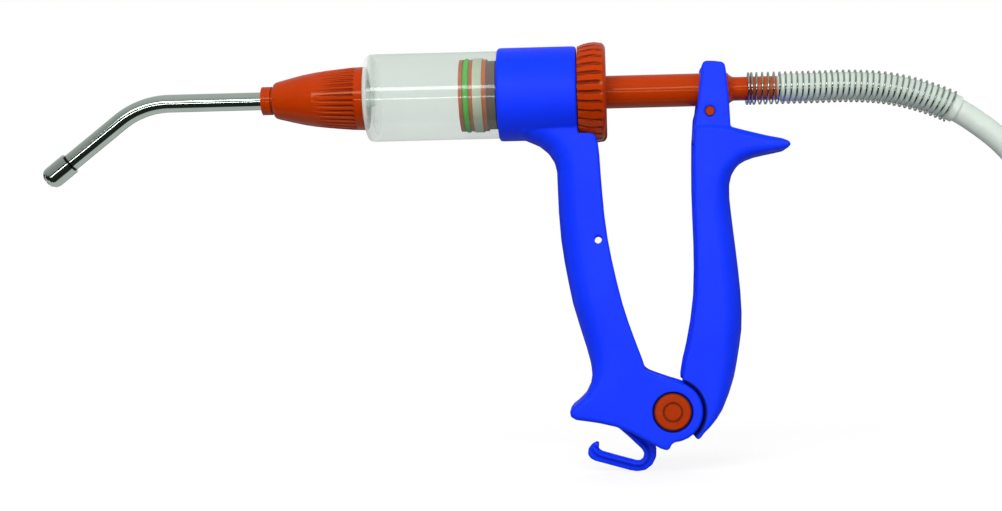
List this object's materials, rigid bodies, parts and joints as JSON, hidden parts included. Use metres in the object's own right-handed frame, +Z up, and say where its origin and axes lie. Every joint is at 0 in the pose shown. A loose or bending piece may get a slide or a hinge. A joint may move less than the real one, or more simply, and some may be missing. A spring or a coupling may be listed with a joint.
{
  "type": "livestock drencher",
  "caption": "Squeeze-lever livestock dosing gun with a clear barrel, bent steel nozzle, adjustable dose ring, hanging hook and a spring-guarded feed hose.",
  "frame": {"origin": "middle of the front grip, where the hand closes round it", "axes": "+X along the barrel towards the hose, +Y across the grip, +Z up from the grip to the barrel"},
  "size_m": [0.5703, 0.0921, 0.1804],
  "materials": {
    "blue_plastic": "satin moulded plastic",
    "orange_plastic": "satin moulded plastic",
    "spring_steel": "bright wire",
    "milky_plastic": "milky clear plastic",
    "black_rubber": "matt rubber",
    "polished_steel": "polished steel",
    "white_plastic": "plain plastic",
    "green_rubber": "smooth rubber",
    "cream_plastic": "plain plastic",
    "pale_hose": "pale translucent tube"
  },
  "bodies": {
    "frame": {"front_handle": "blue_plastic", "barrel": "milky_plastic", "nose_cap": "orange_plastic", "nose_seal": "black_rubber", "nozzle_tube": "polished_steel", "nozzle_tip": "polished_steel", "pivot_pin": "orange_plastic", "pivot_cap": "orange_plastic", "return_spring": "spring_steel", "outlet_spring": "spring_steel", "hose_hank": "pale_hose", "hose_tie": "white_plastic"},
    "lever": {"lever": "blue_plastic", "lever_pin": "orange_plastic"},
    "plunger": {"plunger_rod": "orange_plastic", "piston": "orange_plastic", "piston_o_ring": "green_rubber", "guide_ring": "cream_plastic", "valve_cage": "white_plastic", "inlet_spring": "spring_steel", "hose_guard": "spring_steel", "hose_sleeve": "pale_hose", "hose": "pale_hose"},
    "inlet_valve": {"inlet_valve": "white_plastic"},
    "outlet_valve": {"outlet_valve": "white_plastic"},
    "dose_ring": {"dose_ring": "orange_plastic"},
    "dose_stop": {"dose_stop": "white_plastic"}
  },
  "joints": [
    {"name": "lever_swing", "type": "hinge", "parent": "frame", "child": "lever", "pos_m": [0.0332, 0, -0.059], "axis": [0, -1, 0], "range_deg": [0, 15.5], "stiffness_Nm_per_rad": 0.9, "springref_deg": -28.65, "deforming": ["return_spring"]},
    {"name": "plunger_slide", "type": "slide", "parent": "frame", "child": "plunger", "axis": [-1, 0, 0], "range_m": [0, 0.0338], "deforming": ["hose"]},
    {"name": "inlet_lift", "type": "slide", "parent": "plunger", "child": "inlet_valve", "axis": [-1, 0, 0], "range_m": [0, 0.0015], "stiffness_N_per_m": 200, "springref_m": -0.002, "deforming": ["inlet_spring"]},
    {"name": "outlet_lift", "type": "slide", "parent": "frame", "child": "outlet_valve", "axis": [-1, 0, 0], "range_m": [0, 0.002], "stiffness_N_per_m": 200, "springref_m": -0.003, "deforming": ["outlet_spring"]},
    {"name": "dose_turn", "type": "hinge", "parent": "frame", "child": "dose_ring", "pos_m": [0.002, 0, 0.075], "axis": [1, 0, 0], "range_deg": [0, 631]},
    {"name": "dose_travel", "type": "slide", "parent": "frame", "child": "dose_stop", "axis": [1, 0, 0], "range_m": [0, 0.007]}
  ],
  "couplings": [
    {"joint": "plunger_slide", "follows": "lever_swing", "m_per_rad": 0.1248},
    {"joint": "dose_turn", "follows": "dose_travel", "rad_per_m": 1570.8}
  ]
}
